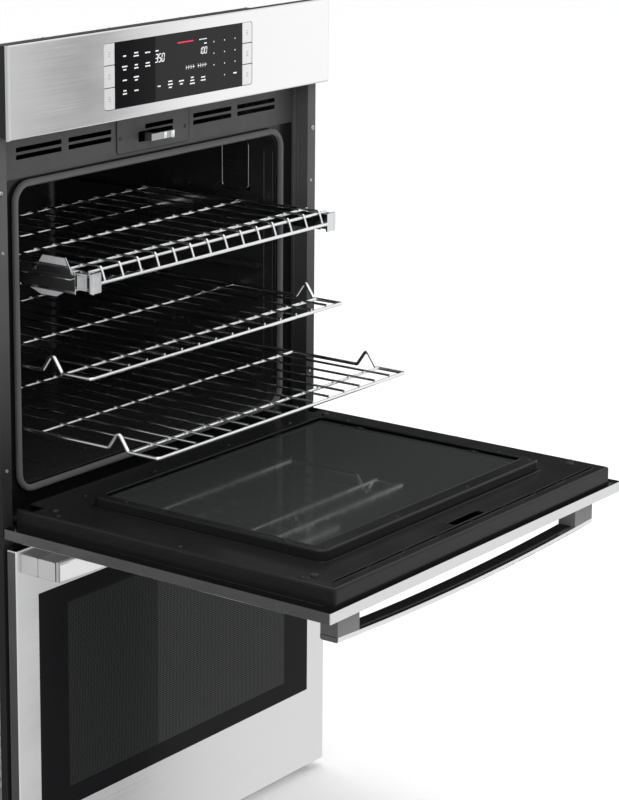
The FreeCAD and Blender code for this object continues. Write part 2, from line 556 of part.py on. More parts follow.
sh = D["slide_hw"]
shelf = []
for s in (-1, 1):
    shelf.append(solid_box(*sorted((s * (sh - 17), s * sh)), -71, 300, zg - 15.5, zg + 8.5))
    link = solid_box(*sorted((s * (sh - 14), s * (sh - 3))), -72.6, -71, zg - 13, zg + 5)
    cap = soft_box(*sorted((s * (sh - 20), s * (sh + 2))), -75.5, -72.6, zg - 19, zg + 10.5, 1.2)
    shelf += [link, cap]
top_rail = zg + 8.5 + 2.4 + REST
for y in (-64, -26, 100, 297):
    shelf.append(rod([(-sh + 8, y, top_rail), (sh - 8, y, top_rail)], 2.4))
low_rail = rod([(-sh + 20, -74, zg - 6.3), (sh - 20, -74, zg - 6.3)], 2.75)
shelf.append(low_rail)
lay = top_rail + 2.4 + D["wire_r"] + REST
for x in WIRE_XS:
    wire = rod([(x, 299, lay), (x, -66, lay), (x, -73.4, zg - 5)], D["wire_r"], 3.0)
    shelf.append(wire.cut(low_rail).Solids[0])
node("slide_shelf", feature("slide_shelf", Part.makeCompound(shelf)))

# ---------------------------------------------------------------- check and export
doc.recompute()
os.makedirs("parts", exist_ok=True)
for name, obj in NODES.items():
    if "Invalid" in obj.State or not obj.Shape.isValid() or not obj.Shape.Solids:
        raise RuntimeError("bad shape: " + name)
    obj.Shape.exportStep("parts/%s.step" % name)
print(len(NODES), "nodes")
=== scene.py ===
import json
import math

import bmesh
import bpy
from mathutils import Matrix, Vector


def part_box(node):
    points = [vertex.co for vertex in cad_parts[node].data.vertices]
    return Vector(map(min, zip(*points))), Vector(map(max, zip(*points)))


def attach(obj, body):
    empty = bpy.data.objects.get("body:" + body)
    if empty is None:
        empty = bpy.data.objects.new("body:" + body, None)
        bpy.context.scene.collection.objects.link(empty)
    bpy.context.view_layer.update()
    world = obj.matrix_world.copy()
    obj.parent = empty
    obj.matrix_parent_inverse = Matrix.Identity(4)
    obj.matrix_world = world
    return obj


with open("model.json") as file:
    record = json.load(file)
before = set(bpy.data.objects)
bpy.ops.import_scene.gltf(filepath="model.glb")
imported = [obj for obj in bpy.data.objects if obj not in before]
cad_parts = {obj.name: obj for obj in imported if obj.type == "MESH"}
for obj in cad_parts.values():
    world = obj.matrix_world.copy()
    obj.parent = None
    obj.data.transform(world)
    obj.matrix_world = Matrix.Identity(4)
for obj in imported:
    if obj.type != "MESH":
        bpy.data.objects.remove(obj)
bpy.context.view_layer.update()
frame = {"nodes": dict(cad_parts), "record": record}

NODES = frame["nodes"]
MM = 0.001
OVENS = ("upper", "lower")


# ---------------------------------------------------------------- camera and studio
CAMERA_AT = (-3.0156, -2.7563, 1.7764)
CAMERA_YAW, CAMERA_PITCH = 38.088, 11.672
LENS_MM, SENSOR_MM = 117.72, 36.0
SHIFT_X, SHIFT_Y = 0.1, -0.2
NEAREST, FARTHEST = 0.1, 100.0


def make_camera():
    """A long lens at eye height, to the left of the open door. Angles are in degrees."""
    data = bpy.data.cameras.new("camera")
    data.sensor_width, data.lens = SENSOR_MM, LENS_MM
    data.shift_x, data.shift_y = SHIFT_X, SHIFT_Y
    data.clip_start, data.clip_end = NEAREST, FARTHEST
    cam = bpy.data.objects.new("camera", data)
    bpy.context.scene.collection.objects.link(cam)
    cam.location = CAMERA_AT
    yaw, pitch = math.radians(CAMERA_YAW), math.radians(CAMERA_PITCH)
    look = Vector((math.cos(yaw) * math.cos(pitch), math.sin(yaw) * math.cos(pitch), -math.sin(pitch)))
    cam.rotation_mode = "QUATERNION"
    cam.rotation_quaternion = look.to_track_quat("-Z", "Y")
    bpy.context.scene.camera = cam


def softbox(name, at, target, size, power):
    """A large rectangular area light that faces a point."""
    data = bpy.data.lights.new(name, "AREA")
    data.shape = "RECTANGLE"
    data.size, data.size_y = size
    data.energy = power
    lamp = bpy.data.objects.new(name, data)
    bpy.context.scene.collection.objects.link(lamp)
    lamp.location = at
    lamp.rotation_mode = "QUATERNION"
    lamp.rotation_quaternion = (Vector(target) - Vector(at)).to_track_quat("-Z", "Y")
    lamp.visible_camera = False


# ---------------------------------------------------------------- shader kit
class Shader:
    """A Principled material, with short ways to wire procedural detail into it."""

    def __init__(self, name, colour, metallic=0.0, roughness=0.5):
        self.mat = bpy.data.materials.new(name)
        self.mat.use_nodes = True
        self.nodes = self.mat.node_tree.nodes
        self.links = self.mat.node_tree.links
        self.bsdf = self.nodes["Principled BSDF"]
        self.set("Base Color", (*colour, 1.0))
        self.set("Metallic", metallic)
        self.set("Roughness", roughness)
        self.place = self.nodes.new("ShaderNodeTexCoord").outputs["Object"]
        self.normal = None

    def set(self, socket, value):
        self.bsdf.inputs[socket].default_value = value
        return self

    def drive(self, socket, output):
        self.links.new(output, self.bsdf.inputs[socket])
        return self

    def put(self, node, **inputs):
        """Set or link a node's inputs by name."""
        for name, value in inputs.items():
            socket = node.inputs[name.replace("_", " ")]
            if isinstance(value, bpy.types.NodeSocket):
                self.links.new(value, socket)
            else:
                socket.default_value = value
        return node

    def stretch(self, scale):
        node = self.nodes.new("ShaderNodeMapping")
        return self.put(node, Vector=self.place, Scale=scale).outputs["Vector"]

    def noise(self, scale, detail=3.0, stretch=None, roughness=0.5):
        node = self.nodes.new("ShaderNodeTexNoise")
        where = self.stretch(stretch) if stretch else self.place
        return self.put(node, Vector=where, Scale=scale, Detail=detail, Roughness=roughness).outputs["Fac"]

    def cells(self, scale, output="Distance", feature="F1"):
        node = self.nodes.new("ShaderNodeTexVoronoi")
        node.feature = feature
        return self.put(node, Vector=self.place, Scale=scale).outputs[output]

    def waves(self, scale, direction, distortion=0.0, stretch=None):
        node = self.nodes.new("ShaderNodeTexWave")
        node.bands_direction = direction
        where = self.stretch(stretch) if stretch else self.place
        return self.put(node, Vector=where, Scale=scale, Distortion=distortion).outputs["Fac"]

    def span(self, value, low, high, to_low=0.0, to_high=1.0):
        """Map a value from one range to another, clamped."""
        node = self.nodes.new("ShaderNodeMapRange")
        for i, number in enumerate((low, high, to_low, to_high), start=1):
            node.inputs[i].default_value = number
        self.links.new(value, node.inputs["Value"])
        return node.outputs["Result"]

    def maths(self, operation, a, b=0.0, c=0.0):
        node = self.nodes.new("ShaderNodeMath")
        node.operation = operation
        for socket, value in zip(node.inputs, (a, b, c)):
            if isinstance(value, bpy.types.NodeSocket):
                self.links.new(value, socket)
            else:
                socket.default_value = value
        return node.outputs[0]

    def axis(self, name):
        node = self.nodes.new("ShaderNodeSeparateXYZ")
        self.links.new(self.place, node.inputs[0])
        return node.outputs[name]

    def channel(self, colour):
        """The first channel of a colour output."""
        node = self.nodes.new("ShaderNodeSeparateColor")
        self.links.new(colour, node.inputs[0])
        return node.outputs[0]

    def blend(self, factor, a, b):
        """Mix two colours by a factor."""
        node = self.nodes.new("ShaderNodeMix")
        node.data_type = "RGBA"
        for index, value in ((0, factor), (6, a), (7, b)):
            if isinstance(value, bpy.types.NodeSocket):
                self.links.new(value, node.inputs[index])
            elif index == 0:
                node.inputs[index].default_value = value
            else:
                node.inputs[index].default_value = (*value, 1.0)
        return node.outputs[2]

    def bump(self, height, strength, distance=0.001):
        node = self.nodes.new("ShaderNodeBump")
        self.put(node, Height=height, Strength=strength, Distance=distance)
        if self.normal is not None:
            self.links.new(self.normal, node.inputs["Normal"])
        self.normal = node.outputs["Normal"]
        self.drive("Normal", self.normal)
        return self


class Sky(Shader):
    """The same wiring helpers for a world, with the direction of view as the place."""

    def __init__(self, world):
        self.nodes, self.links = world.node_tree.nodes, world.node_tree.links
        self.place = self.nodes.new("ShaderNodeTexCoord").outputs["Generated"]

    def band(self, value, low, high, soft):
        """1 inside a range and 0 outside it."""
        rise = self.span(value, low - soft, low + soft)
        return self.maths("MULTIPLY", rise, self.span(value, high + soft, high - soft))

    def card(self, level, mask, value):
        """Lay a card of one brightness over the level where the mask is 1."""
        return self.maths("MULTIPLY_ADD", mask, self.maths("SUBTRACT", value, level), level)


# ---------------------------------------------------------------- finishes
GLASS_BLACK = (0.006, 0.006, 0.007)
# where the painted reflection on the dark glass begins across the oven, and how softly, in metres
REFLECTION_EDGE_X, REFLECTION_EDGE_SOFT = -0.0588, 0.001
EDGE_SOFT = 2 * MM
DOT_PITCH = 5 * MM
PANE_GLOSS = 0.06


def scaled(colour, by):
    return tuple(by * c for c in colour)


def brushed(name, colour, rough, grain=0.5):
    """Sheet steel brushed along X, with faint wide smears."""
    s = Shader(name, colour, metallic=1.0, roughness=rough)
    lines = s.noise(1.0, 4.0, stretch=(5, 900, 900), roughness=0.6)
    smear = s.noise(5.0, 3.0, stretch=(1, 2.5, 2.5))
    tone = s.maths("MULTIPLY_ADD", s.span(lines, 0.3, 0.7, -1, 1), 0.02 * grain, 0.0)
    tone = s.maths("ADD", tone, s.span(smear, 0.3, 0.7, 0.98, 1.02))
    light = tuple(min(1.0, 1.25 * c) for c in colour)
    s.drive("Base Color", s.blend(s.span(tone, 0.75, 1.25), scaled(colour, 0.75), light))
    worn = s.maths("ADD", s.span(lines, 0.3, 0.7, -0.02, 0.02),
                   s.span(smear, 0.3, 0.7, rough - 0.02, rough + 0.02))
    s.drive("Roughness", worn)
    return s.bump(lines, 0.02 * grain, 0.0001)


def galvanised():
    """Hot dipped sheet with its spangle."""
    s = Shader("galvanised", (0.5, 0.51, 0.52), metallic=0.85, roughness=0.42)
    flakes = s.cells(90, "Color")
    fine = s.cells(260, "Color")
    both = s.maths("ADD", s.maths("MULTIPLY", s.channel(flakes), 0.7),
                   s.maths("MULTIPLY", s.channel(fine), 0.3))
    s.drive("Base Color", s.blend(both, (0.38, 0.39, 0.41), (0.62, 0.63, 0.64)))
    s.drive("Roughness", s.span(both, 0.1, 0.9, 0.3, 0.55))
    return s.bump(s.noise(40, 3), 0.1, 0.0005)


def enamel(name, colour, rough, speck=0.0, gloss=0.3):
    """Vitreous enamel: glassy, slightly rippled, with or without pale specks."""
    s = Shader(name, colour, roughness=rough)
    s.set("Specular IOR Level", gloss)
    if speck:
        dots = s.cells(420)
        pick = s.maths("LESS_THAN", s.channel(s.cells(420, "Color")), 0.3)
        mask = s.maths("MULTIPLY", s.span(dots, 0.16, 0.10), pick)
        pale = tuple(min(1.0, c + speck) for c in colour)
        s.drive("Base Color", s.blend(mask, colour, pale))
    s.drive("Roughness", s.span(s.noise(14, 3), 0.3, 0.7, rough * 0.8, rough * 1.25))
    return s.bump(s.noise(180, 2), 0.06, 0.0004)


def paint(name, colour, rough=0.45, gloss=0.4):
    """Powder coat: fine orange peel and a little uneven sheen."""
    s = Shader(name, colour, roughness=rough)
    s.set("Specular IOR Level", gloss)
    cloud = s.span(s.noise(9, 4), 0.3, 0.7)
    s.drive("Base Color", s.blend(cloud, scaled(colour, 0.9), scaled(colour, 1.1)))
    s.drive("Roughness", s.span(s.noise(60, 3), 0.3, 0.7, rough - 0.06, rough + 0.06))
    return s.bump(s.noise(1400, 2), 0.12, 0.0002)


def painted_reflection_side(s):
    """Mask of the painted reflection: 0 to the left of the reflection's edge across the glass and 1 to the
    right of it.
    """
    return s.span(s.axis("X"), REFLECTION_EDGE_X - REFLECTION_EDGE_SOFT, REFLECTION_EDGE_X + REFLECTION_EDGE_SOFT)


def plain_glass(name, colour, gloss, rough=0.035, reflected_colour=None):
    """Polished glass over a dark backing, which may have another colour, a painted reflection, to the right
    of the reflection's edge.
    """
    s = Shader(name, colour, roughness=rough)
    s.set("Specular IOR Level", gloss)
    if reflected_colour:
        s.drive("Base Color", s.blend(painted_reflection_side(s), colour, reflected_colour))
    s.drive("Roughness", s.span(s.noise(6, 4), 0.35, 0.7, rough, rough + 0.05))
    return s.bump(s.noise(3, 1), 0.02, 0.002)


def screened_glass(name, across, low, high, height_axis, gloss):
    """Door glass: a black border, and inside it a fine diagonal screen of printed dots, lighter to the right
    of the reflection's edge as a painted reflection.
    """
    s = plain_glass(name, GLASS_BLACK, gloss)
    x, w = s.axis("X"), s.axis(height_axis)
    inside = s.span(s.maths("ABSOLUTE", x), across, across - EDGE_SOFT)
    inside = s.maths("MULTIPLY", inside, s.span(w, low, low + EDGE_SOFT))
    inside = s.maths("MULTIPLY", inside, s.span(w, high, high - EDGE_SOFT))
    turn = math.pi / DOT_PITCH / math.sqrt(2)
    one = s.maths("SINE", s.maths("MULTIPLY", s.maths("ADD", x, w), turn * 2))
    two = s.maths("SINE", s.maths("MULTIPLY", s.maths("SUBTRACT", x, w), turn * 2))
    dots = s.span(s.maths("MULTIPLY", one, two), 0.15, 0.45)
    # dots darker on the left and lighter on the right: a painted reflection
    left = s.blend(dots, (0.009, 0.010, 0.010), (0.040, 0.041, 0.041))
    right = s.blend(dots, (0.016, 0.017, 0.017), (0.072, 0.074, 0.074))
    painted_reflection_tint = s.blend(painted_reflection_side(s), left, right)
    s.drive("Base Color", s.blend(inside, GLASS_BLACK, painted_reflection_tint))
    return s


def braid(name, colour):
    """Woven fibre sleeve of the door gasket."""
    s = Shader(name, colour, roughness=0.85)
    s.set("Specular IOR Level", 0.25).set("Sheen Weight", 0.15)
    one = s.waves(190, "DIAGONAL", 0.6)
    two = s.waves(190, "DIAGONAL", 0.6, stretch=(-1, 1, 1))
    weave = s.maths("MULTIPLY", one, two)
    s.drive("Base Color", s.blend(weave, scaled(colour, 0.55), scaled(colour, 1.35)))
    return s.bump(weave, 0.5, 0.0006)


def paint_with_painted_shadow(name, colour, low, high):
    """Powder coat that darkens towards the bottom, between two heights in metres: a painted shadow of the
    open door.
    """
    s = paint(name, colour, gloss=0.15)
    door_shadow = s.span(s.axis("Z"), low, high)
    s.drive("Base Color", s.blend(door_shadow, scaled(colour, 0.22), colour))
    return s


def plated(name, colour, rough):
    """Bright plating with slight drawing lines and haze."""
    s = Shader(name, colour, metallic=1.0, roughness=rough)
    haze = s.noise(35, 4)
    s.drive("Roughness", s.span(haze, 0.3, 0.7, rough * 0.7, rough * 1.5))
    s.drive("Base Color", s.blend(haze, scaled(colour, 0.9), colour))
    return s.bump(s.noise(220, 2), 0.04, 0.0002)


def burnt(name, colour):
    """Oxidised heater sheath, mottled from heat."""
    s = Shader(name, colour, metallic=0.7, roughness=0.5)
    patches = s.span(s.noise(24, 5), 0.35, 0.65)
    s.drive("Base Color", s.blend(patches, scaled(colour, 0.5), scaled(colour, 1.5)))
    s.drive("Roughness", s.span(patches, 0, 1, 0.38, 0.62))
    return s.bump(s.noise(500, 3), 0.15, 0.0003)


def cast(name, colour):
    """Rough painted casting."""
    s = Shader(name, colour, metallic=0.4, roughness=0.6)
    s.drive("Base Color", s.blend(s.span(s.noise(30, 4), 0.3, 0.7), scaled(colour, 0.7), colour))
    return s.bump(s.noise(300, 4), 0.25, 0.0005)


def glow(name, colour, strength):
    """Lit display legend."""
    s = Shader(name, colour, roughness=0.5)
    s.set("Emission Color", (*colour, 1.0)).set("Emission Strength", strength)
    s.drive("Roughness", s.span(s.noise(400, 2), 0.3, 0.7, 0.45, 0.55))
    return s


def frosted(name):
    """Ribbed lamp glass, smoky while the lamp is off."""
    s = Shader(name, (0.030, 0.029, 0.028), roughness=0.28)
    s.set("Transmission Weight", 0.35).set("IOR", 1.47)
    return s.bump(s.waves(70, "Z"), 0.35, 0.002)


def laminate(name):
    """Circuit board with faint tracks."""
    s = Shader(name, (0.02, 0.09, 0.045), roughness=0.4)
    tracks = s.span(s.cells(120, "Distance", feature="DISTANCE_TO_EDGE"), 0.02, 0.06)
    s.drive("Base Color", s.blend(tracks, (0.05, 0.16, 0.08), (0.015, 0.08, 0.04)))
    return s


def make_materials():
    """One finish for each material slot of the record, and a few for added detail."""
    made = {
        "stainless": brushed("stainless", (0.73, 0.73, 0.735), 0.12),
        "key_steel": brushed("key_steel", (0.76, 0.76, 0.765), 0.24),
        "handle_steel": brushed("handle_steel", (0.80, 0.80, 0.805), 0.16, grain=0.35),
        "galvanised": galvanised(),
        "frame_enamel": enamel("frame_enamel", (0.006, 0.006, 0.0065), 0.2, speck=0.04),
        "vent_paint": paint("vent_paint", (0.055, 0.055, 0.057)),
        # trim paint darkening towards its foot: a painted shadow of the open door
        "trim_paint": paint_with_painted_shadow("trim_paint", (0.090, 0.091, 0.093), 0.68, 1.00),
        "black_paint": paint("black_paint", (0.012, 0.012, 0.013)),
        # black glass with a lighter patch to the right of the reflection's edge: a painted reflection
        "black_glass": plain_glass("black_glass", GLASS_BLACK, PANE_GLOSS, reflected_colour=(0.024, 0.024, 0.025)),
        "window_glass": plain_glass("window_glass", (0.034, 0.036, 0.036), 0.2),
        "cavity_enamel": enamel("cavity_enamel", (0.024, 0.0225, 0.022), 0.24, speck=0.10, gloss=0.45),
        "door_enamel": enamel("door_enamel", (0.013, 0.013, 0.0135), 0.2, gloss=0.16),
        "gasket_fibre": braid("gasket_fibre", (0.14, 0.14, 0.145)),
        "rack_chrome": plated("rack_chrome", (0.80, 0.81, 0.82), 0.12),
        "element_alloy": burnt("element_alloy", (0.075, 0.07, 0.066)),
        "fan_steel": plated("fan_steel", (0.45, 0.45, 0.46), 0.3),
        "motor_steel": cast("motor_steel", (0.16, 0.16, 0.165)),
        "lamp_glass": frosted("lamp_glass"),
        "latch_steel": plated("latch_steel", (0.42, 0.42, 0.43), 0.22),
        "hinge_zinc": plated("hinge_zinc", (0.62, 0.62, 0.60), 0.26),
        "post_grey": paint("post_grey", (0.16, 0.16, 0.165), rough=0.35),
        "board_laminate": laminate("board_laminate"),
    }
    return {slot: shader.mat for slot, shader in made.items()}


# cards: azimuths and soft edge in degrees, the heights that the card fades in between, brightness
CARDS = (
    ((62, 190, 8), None, 0.62),
    ((-80, 4, 3), (0.25, 0.12), 0.96),
    ((-42.6, -39.9, 0.6), (0.25, 0.12), 0.30),
    ((62, 190, 8), (-0.24, -0.29), 0.08),
    ((16, 58, 3), (0.46, 0.40), 0.03),
)
LIGHTS_AIM = (0.0, -0.2, 0.7)
FLOOR_HALF, FLOOR_Z = 25.0, -0.0006


def make_studio():
    """White room. Glossy and diffuse rays see dark and bright cards round it, placed by direction."""
    scene = bpy.context.scene
    scene.view_settings.view_transform = "Standard"
    world = bpy.data.worlds.new("studio")
    scene.world = world
    world.use_nodes = True
    surround = world.node_tree.nodes["Background"]
    surround.inputs["Color"].default_value = (1, 1, 1, 1)
    sky = Sky(world)
    x, y, height = sky.axis("X"), sky.axis("Y"), sky.axis("Z")
    turn = sky.maths("MULTIPLY", sky.maths("ARCTAN2", y, x), math.degrees(1))
    level = sky.span(height, 0.45, 0.65, 0.80, 1.15)
    for around, fade, value in CARDS:
        mask = sky.band(turn, *around)
        if fade:
            mask = sky.maths("MULTIPLY", sky.span(height, *fade), mask)
        level = sky.card(level, mask, value)
    path = sky.nodes.new("ShaderNodeLightPath")
    sky.links.new(sky.card(level, path.outputs["Is Camera Ray"], 1.0), surround.inputs["Strength"])

    floor_paint = Shader("floor_paint", (0.95, 0.95, 0.95), roughness=0.7)
    floor_paint.set("Specular IOR Level", 0.1)
    floor_paint.set("Emission Color", (1, 1, 1, 1)).set("Emission Strength", 0.17)
    mesh = bpy.data.meshes.new("floor")
    corners = [(sx * FLOOR_HALF, sy * FLOOR_HALF, FLOOR_Z) for sx, sy in ((-1, -1), (1, -1), (1, 1), (-1, 1))]
    mesh.from_pydata(corners, [], [(0, 1, 2, 3)])
    floor = bpy.data.objects.new("floor", mesh)
    floor.data.materials.append(floor_paint.mat)
    floor.visible_glossy = False
    scene.collection.objects.link(floor)

    softbox("key", (-2.6, -3.4, 3.4), LIGHTS_AIM, (2.4, 2.4), 30)
    softbox("side", (3.6, -2.2, 1.6), LIGHTS_AIM, (2.0, 2.6), 6)
    softbox("top", (0.3, 0.4, 4.2), LIGHTS_AIM, (3.0, 3.0), 40)
    softbox("back", (1.8, 3.8, 2.6), LIGHTS_AIM, (2.4, 2.4), 20)


make_camera()
make_studio()
MATERIALS = make_materials()


SCREEN_HALF = 268 * MM
SCREEN_MARGIN = 29 * MM


def dress_cad():
    """Give every CAD node the finish of its slot; the door panes get their printed screen, with its painted
    reflection.
    """
    for part in frame["record"]["subparts"]:
        data = NODES[part["node"]].data
        data.materials.clear()
        data.materials.append(MATERIALS[part["material_slot"]])
    for tag, axis in (("upper", "Y"), ("lower", "Z")):
        low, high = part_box("door_pane_" + tag)
        a, b = (low.y, high.y) if axis == "Y" else (low.z, high.z)
        made = screened_glass("screen_" + tag, SCREEN_HALF, a + SCREEN_MARGIN, b - SCREEN_MARGIN, axis,
                              PANE_GLOSS)
        NODES["door_pane_" + tag].data.materials[0] = made.mat


dress_cad()


# ---------------------------------------------------------------- mesh kit
SHARP = math.radians(35)


class Piece:
    """Collects mesh in the row frame, in metres, and makes one piece of it."""

    def __init__(self):
        self.bm = bmesh.new()

    def block(self, low, high, bevel=0.0, segments=2):
        low, high = Vector(low), Vector(high)
        made = bmesh.ops.create_cube(self.bm, size=1.0)["verts"]
        size = high - low
        for v in made:
            v.co = (low + high) / 2 + Vector((v.co.x * size.x, v.co.y * size.y, v.co.z * size.z))
        if bevel:
            edges = {e for v in made for e in v.link_edges}
            bmesh.ops.bevel(self.bm, geom=list(edges), offset=bevel, segments=segments, affect="EDGES",
                            profile=0.5)
        return self

    def turned(self, at, axis, profile, sides=24):
        """Revolve (radius, height) points about an axis through at."""
        turn = Vector(axis).to_track_quat("Z", "Y").to_matrix()
        rings = []
        for radius, height in profile:
            ring = []
            count = 1 if radius < 1e-7 else sides
            for k in range(count):
                a = 2 * math.pi * k / sides
                p = Vector((radius * math.cos(a), radius * math.sin(a), height))
                ring.append(self.bm.verts.new(Vector(at) + turn @ p))
            rings.append(ring)
        for r, s in zip(rings, rings[1:]):
            for k in range(sides):
                n = (k + 1) % sides
                corners = [r[k % len(r)], r[n % len(r)], s[n % len(s)], s[k % len(s)]]
                unique = list(dict.fromkeys(corners))
                if len(unique) > 2:
                    self.bm.faces.new(unique)
        return self

    def sheet(self, corners, depth):
        """A flat polygon given depth along a vector."""
        low = [self.bm.verts.new(Vector(p)) for p in corners]
        high = [self.bm.verts.new(Vector(p) + Vector(depth)) for p in corners]
        self.bm.faces.new(low[::-1])
        self.bm.faces.new(high)
        for k in range(len(corners)):
            n = (k + 1) % len(corners)
            self.bm.faces.new([low[k], low[n], high[n], high[k]])
        return self

    def done(self, name, slot, body, material=None, smooth=True):
        bmesh.ops.recalc_face_normals(self.bm, faces=self.bm.faces)
        mesh = bpy.data.meshes.new(name)
        self.bm.to_mesh(mesh)
        self.bm.free()
        mesh.materials.append(material or MATERIALS[slot])
        if smooth:
            mesh.shade_smooth()
            mesh.set_sharp_from_angle(angle=SHARP)
        obj = bpy.data.objects.new(name, mesh)
        bpy.context.scene.collection.objects.link(obj)
        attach(obj, body)
        return obj


def pan_screw(piece, at, axis, radius):
    """A domed screw head with a cross recess."""
    h = radius * 0.62
    profile = [(0.0, h * 0.45), (radius * 0.16, h * 0.45), (radius * 0.22, h * 0.98),
               (radius * 0.55, h * 0.86), (radius * 0.86, h * 0.5), (radius, h * 0.14), (radius, 0.0)]
    piece.turned(at, axis, profile, 20)


def hex_screw(piece, at, axis, radius):
    """A hex head on a flange, as used all over sheet metal casings."""
    profile = [(0.0, radius * 0.62), (radius * 0.5, radius * 0.62), (radius * 0.6, radius * 0.56),
               (radius * 0.6, radius * 0.16)]
    piece.turned(at, axis, profile, 6)
    piece.turned(at, axis, [(radius * 0.58, radius * 0.2), (radius * 0.95, radius * 0.13), (radius, 0.0)], 20)


# ---------------------------------------------------------------- control panel legends
COLUMN = 26.15 * MM
ROW = 17.8 * MM
FIRST_COLUMN = -129 * MM
TOP_ROW = 1267.7 * MM
INK_FRONT, INK_BACK = 0.15 * MM, 0.1 * MM
LETTER_W, LETTER_H, LETTER_STEP, LINE_STEP = 1.7 * MM, 2.0 * MM, 2.4 * MM, 4.6 * MM
BAR_Z, SCALE_Z = 1274.4 * MM, 1235.2 * MM


def dash(piece, x, z, width, height, y):
    """One flat printed mark."""
    piece.block((x - width / 2, y - INK_FRONT, z - height / 2), (x + width / 2, y + INK_BACK, z + height / 2))


def word(piece, column, row, lines, y, seed):
    """A key legend suggested by short dashes, one to three lines of them."""
    x0 = FIRST_COLUMN + COLUMN * column
    z0 = TOP_ROW - ROW * row
    for line in range(lines):
        z = z0 + ((lines - 1) / 2 - line) * LINE_STEP
        count = 3 + (seed + line) % 3
        for k in range(count):
            dash(piece, x0 + (k - (count - 1) / 2) * LETTER_STEP, z, LETTER_W, LETTER_H, y)


SEGMENTS = {"0": "abcdef", "1": "bc", "3": "abgcd", "5": "afgcd"}


def digits(piece, text, x, z, size, y):
    """Slanted seven segment numerals; x and z are the low left corner."""
    width, height = size
    bar = height * 0.115
    lean = 0.14
    spots = {"a": (0.5, 1, 1), "g": (0.5, 0.5, 1), "d": (0.5, 0, 1),
             "f": (0, 0.75, 0), "b": (1, 0.75, 0), "e": (0, 0.25, 0), "c": (1, 0.25, 0)}
    for i, letter in enumerate(text):
        for key in SEGMENTS[letter]:
            u, v, flat = spots[key]
            cx, cz = x + i * width * 1.45 + u * width, z + v * height
            half_x = (width * 0.42) if flat else bar / 2
            half_z = bar / 2 if flat else height * 0.21
            corners = [(-half_x, -half_z), (half_x, -half_z), (half_x, half_z), (-half_x, half_z)]
            points = [(cx + a + (cz + b - z) * lean, y - INK_FRONT, cz + b) for a, b in corners]
            piece.sheet(points, (0, INK_FRONT + INK_BACK, 0))


def make_legends():
    """Dots and dashes in place of words on the control glass, with generic digits and a heat bar."""
    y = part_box("control_glass")[0].y
    white = glow("legend_white", (0.85, 0.87, 0.88), 0.35).mat
    red = glow("legend_red", (0.75, 0.02, 0.05), 0.6).mat
    marks = Piece()
    left = {0: (1, 2, 1, 2), 1: (2, 2, 2, 1), 2: (1, 2)}
    for column, lines in left.items():
        for row, count in enumerate(lines):
            word(marks, column, row, count, y, column + 2 * row)
    for column, count in zip(range(3, 8), (1, 3, 2, 3, 2)):
        word(marks, column, 3, count, y, column)
    for column in (8, 9, 10):
        for row in range(4):
            if (column, row) == (8, 3):
                continue
            x, z = FIRST_COLUMN + COLUMN * column, TOP_ROW - ROW * row
            wide = 8 * MM if (column, row) == (10, 3) else 1.5 * MM
            dash(marks, x, z, wide, 1.9 * MM, y)
    dash(marks, -55 * MM, TOP_ROW, 7 * MM, 1.6 * MM, y)
    dash(marks, 59.5 * MM, TOP_ROW, 6 * MM, 1.6 * MM, y)
    for k in range(4):
        dash(marks, (46.5 + 4.8 * k) * MM, BAR_Z, 3.4 * MM, 1.4 * MM, y)
    digits(marks, "350", -59.5 * MM, 1250.8 * MM, (5.2 * MM, 11.6 * MM), y)
    digits(marks, "100", 44.2 * MM, 1252.4 * MM, (4.6 * MM, 9.4 * MM), y)
    for group in (13.5, 42.0):
        for k in range(4):
            x = group + 5.6 * k
            dash(marks, (x + 2.1) * MM, SCALE_Z, 3.4 * MM, 0.8 * MM, y)
            dash(marks, x * MM, SCALE_Z, 0.7 * MM, 6.2 * MM, y)
    marks.done("display_marks", "black_glass", "chassis", white)
    bar = Piece()
    for k in range(9):
        dash(bar, (-5 + 4.2 * k) * MM, BAR_Z, 3.3 * MM, 2.0 * MM, y)
    bar.done("display_heat_bar", "black_glass", "chassis", red)


def make_key_marks():
    """A small generic three line symbol on each key."""
    grey = paint("key_print", (0.30, 0.30, 0.31)).mat
    for side in ("left", "right"):
        for i in (1, 2, 3):
            name = f"key_{side}_{i}"
            low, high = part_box(name)
            x, z, y = (low.x + high.x) / 2, (low.z + high.z) / 2, low.y
            marks = Piece()
            for k in range(3):
                width = (4.6 - 1.1 * ((k + i) % 2)) * MM
                dash(marks, x, z + (k - 1) * 3.0 * MM, width, 1.0 * MM, y)
            marks.done("mark_" + name, "key_steel", name, grey, smooth=False)


make_legends()
make_key_marks()

# ---------------------------------------------------------------- added detail
# millimetres from here on: d is the depth behind the control panel's front, z the height
FRONT = -300.0


def at(x, d, z):
    """A point from millimetres across, depth behind the control panel's front, and height."""
    return Vector((x, FRONT + d, z)) * MM


HINGE = {"upper": (13.1, 601.3), "lower": (13.1, 23.5)}
DOOR_H = {"upper": 569.7, "lower": 552.5}
FACE_V = 11.5
MOUTH = {tag: (HINGE[tag][1] + 47.7, HINGE[tag][1] + 489.7) for tag in OVENS}
PLATE_TOP = {"upper": 1174.0, "lower": 584.0}
FRAME_D, BACK_D = 54.7, 541.0
LINER_V, PAD_V, PAD_LOW = 42.9, 58.8, 71.0
HANDLE_HALF, HANDLE_SAG, HANDLE_T = 331.0, 9.0, 8.0
LEAF_X = 341
CAVITY_HALF, COVE_R, BACK_COVE_R = 311.0, 30.0, 16
FAN_UP = 8
CASING_HALF, CASING_BACK, CASING_TOP, BOX_TOP = 354, 597.5, 1200, 1284
RACK_Z, BRACKET_X = 970.0, 296.1


def door_at(tag):
    """Place a point given across, behind the door's face, and up the door from its hinges."""
    d, z = HINGE[tag]
    if tag == "upper":
        return lambda x, v, w: at(x, d - w, z + v - FACE_V)
    return lambda x, v, w: at(x, d - FACE_V + v, z + w)


